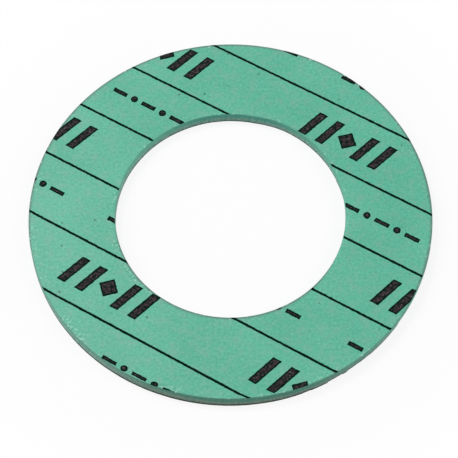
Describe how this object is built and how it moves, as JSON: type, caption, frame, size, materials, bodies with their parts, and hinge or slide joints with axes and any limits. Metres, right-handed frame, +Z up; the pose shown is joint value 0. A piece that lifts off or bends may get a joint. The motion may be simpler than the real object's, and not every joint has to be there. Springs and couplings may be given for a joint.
{
  "type": "flat sealing ring",
  "caption": "Flat die-cut ring of green compressed fibre sheet with a plain bore, clamped between two flange faces to seal a pipe joint.",
  "frame": {"origin": "centre of the bore on the lower sealing face, which is the face that the ring lies on", "axes": "+Z runs up the bore's axis, from the lower sealing face to the printed upper one; X and Y lie in the lower face, and any turn about Z is alike"},
  "size_m": [0.086, 0.086, 0.003],
  "materials": {
    "fibre_sheet": "matte",
    "printing_ink": "matte"
  },
  "bodies": {
    "root": {"sealing_ring": "fibre_sheet"}
  },
  "joints": []
}
